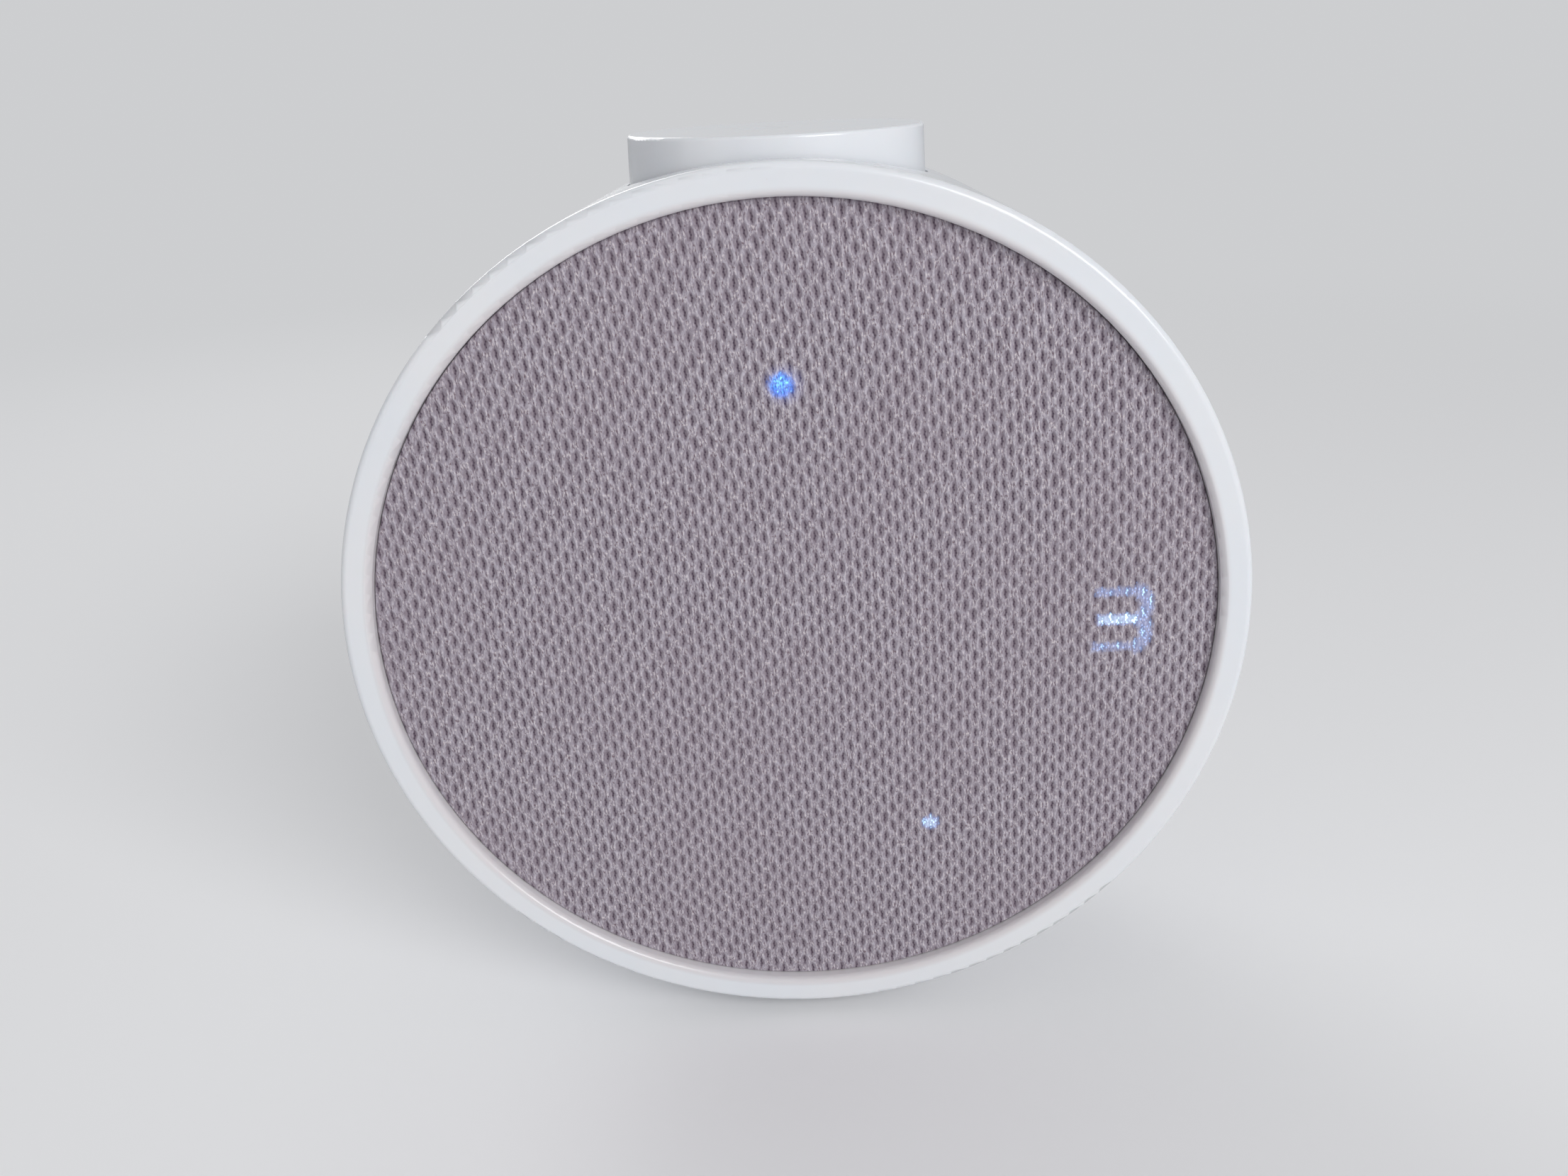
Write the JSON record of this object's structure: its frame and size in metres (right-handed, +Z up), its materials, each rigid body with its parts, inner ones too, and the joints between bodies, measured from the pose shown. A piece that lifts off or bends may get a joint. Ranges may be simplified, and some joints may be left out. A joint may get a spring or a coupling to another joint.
{
  "type": "smart speaker",
  "caption": "Drum-shaped tabletop smart speaker with a knitted front, a lit dial hidden behind it and a push button on top.",
  "frame": {"origin": "on the surface it stands on, under the middle of the drum", "axes": "+Z up towards the button, the knitted front faces -Y, +X to the viewer's right"},
  "size_m": [0.1126, 0.052, 0.1171],
  "materials": {
    "gloss_white": "glossy moulded",
    "knit_cloth": "knitted, acoustically open",
    "dark_plastic": "fine matt texture",
    "frost_film": "frosted",
    "board_white": "white solder resist",
    "board_green": "green solder resist",
    "led_package": "clear resin over white",
    "zinc_steel": "zinc plated",
    "black_steel": "black electrocoat",
    "spring_steel": "bright drawn",
    "ferrite": "ground ferrite",
    "cone_pulp": "pressed fibre",
    "copper_wire": "enamelled copper winding on a former",
    "spider_cloth": "impregnated cotton",
    "soft_rubber": "moulded",
    "grey_rubber": "moulded",
    "foam": "closed cell foam",
    "chip_resin": "moulded epoxy"
  },
  "bodies": {
    "housing": {"drum_shell": "gloss_white", "front_bezel": "gloss_white", "grille_fabric": "knit_cloth", "grille_frame": "dark_plastic", "dial_film": "frost_film", "light_mask": "dark_plastic", "led_board": "board_white", "hour_leds": "led_package", "minute_leds": "led_package", "status_led": "led_package", "microphones": "zinc_steel", "dial_screws": "zinc_steel", "baffle": "dark_plastic", "baffle_screws": "zinc_steel", "driver_frame": "black_steel", "driver_screws": "zinc_steel", "surround": "soft_rubber", "driver_gasket": "foam", "spider": "spider_cloth", "top_plate": "zinc_steel", "magnet": "ferrite", "yoke": "zinc_steel", "terminal_strip": "chip_resin", "speaker_chamber": "dark_plastic", "chamber_screws": "zinc_steel", "crown_collar": "dark_plastic", "collar_screws": "zinc_steel", "crown_spring": "spring_steel", "switch_board": "board_green", "switch_screws": "zinc_steel", "tact_switch": "dark_plastic", "main_board": "board_green", "main_board_screws": "zinc_steel", "radio_shield": "zinc_steel", "processor_chip": "chip_resin", "amplifier_chip": "chip_resin", "power_coil": "ferrite", "capacitors": "zinc_steel", "socket_board": "board_green", "socket_board_screws": "zinc_steel", "power_socket": "zinc_steel", "foot_plate": "gloss_white", "foot_screws": "zinc_steel", "rubber_foot": "grey_rubber"},
    "crown_button": {"crown": "gloss_white"},
    "stem": {"switch_stem": "frost_film"},
    "cone_assembly": {"cone": "cone_pulp", "dust_cap": "cone_pulp", "voice_coil": "copper_wire"}
  },
  "joints": [
    {"name": "crown_press", "type": "slide", "parent": "housing", "child": "crown_button", "axis": [0, 0, -1], "range_m": [0, 0.0007], "stiffness_N_per_m": 800, "springref_m": -0.0015, "deforming": ["crown_spring"]},
    {"name": "stem_slide", "type": "slide", "parent": "housing", "child": "stem", "axis": [0, 0, -1], "range_m": [0, 0.0007], "stiffness_N_per_m": 5},
    {"name": "cone_travel", "type": "slide", "parent": "housing", "child": "cone_assembly", "axis": [0, 1, 0], "range_m": [-0.0015, 0.0015], "stiffness_N_per_m": 1000, "deforming": ["surround", "spider"]}
  ],
  "couplings": [
    {"joint": "stem_slide", "follows": "crown_press", "ratio": 1}
  ]
}
